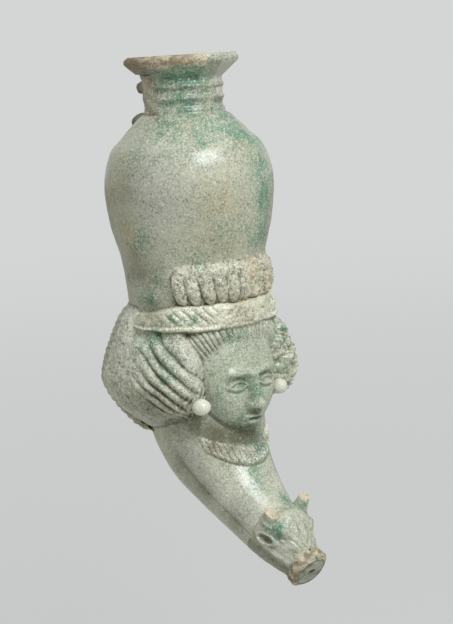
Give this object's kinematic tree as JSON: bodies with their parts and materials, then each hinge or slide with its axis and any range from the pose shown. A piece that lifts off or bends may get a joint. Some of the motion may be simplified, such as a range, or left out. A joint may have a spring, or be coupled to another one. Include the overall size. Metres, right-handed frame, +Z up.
{
  "type": "head rhyton",
  "caption": "Glazed pottery rhyton: narrow ridged neck and flared rim, ovoid jar, woman's head with hair rolls and leaf wreath, curved horn ending in a calf's head with a spout.",
  "frame": {"origin": "on the throwing axis at the waist of the vessel, where a hand closes round it", "axes": "+Z up the throwing axis to the rim, -Y the way the face looks, -X the figure's right"},
  "size_m": [0.0946, 0.1185, 0.2451],
  "materials": {
    "green_glaze": "soft gloss, speckled grey-green alkaline glaze",
    "pale_glaze": "soft gloss, pale glaze",
    "bare_clay": "matt, broken buff clay",
    "repair_plaster": "matt plaster"
  },
  "bodies": {
    "root": {"mouth_collar": "green_glaze", "collar_plaster_fill": "repair_plaster", "thrown_jar": "green_glaze", "handle_root_upper": "bare_clay", "handle_root_lower": "bare_clay", "front_mould_wall": "green_glaze", "back_mould_wall": "green_glaze", "face_mask": "green_glaze", "forelock_right": "green_glaze", "forelock_left": "green_glaze", "hair_roll_right": "green_glaze", "hair_roll_left": "green_glaze", "back_hair": "green_glaze", "wreath": "green_glaze", "fillet": "green_glaze", "earring_right": "pale_glaze", "earring_left": "pale_glaze", "necklace": "green_glaze", "calf_head": "green_glaze", "calf_horn_right": "bare_clay", "calf_horn_left": "bare_clay", "calf_ear_right": "green_glaze", "calf_ear_left": "green_glaze"}
  },
  "joints": []
}
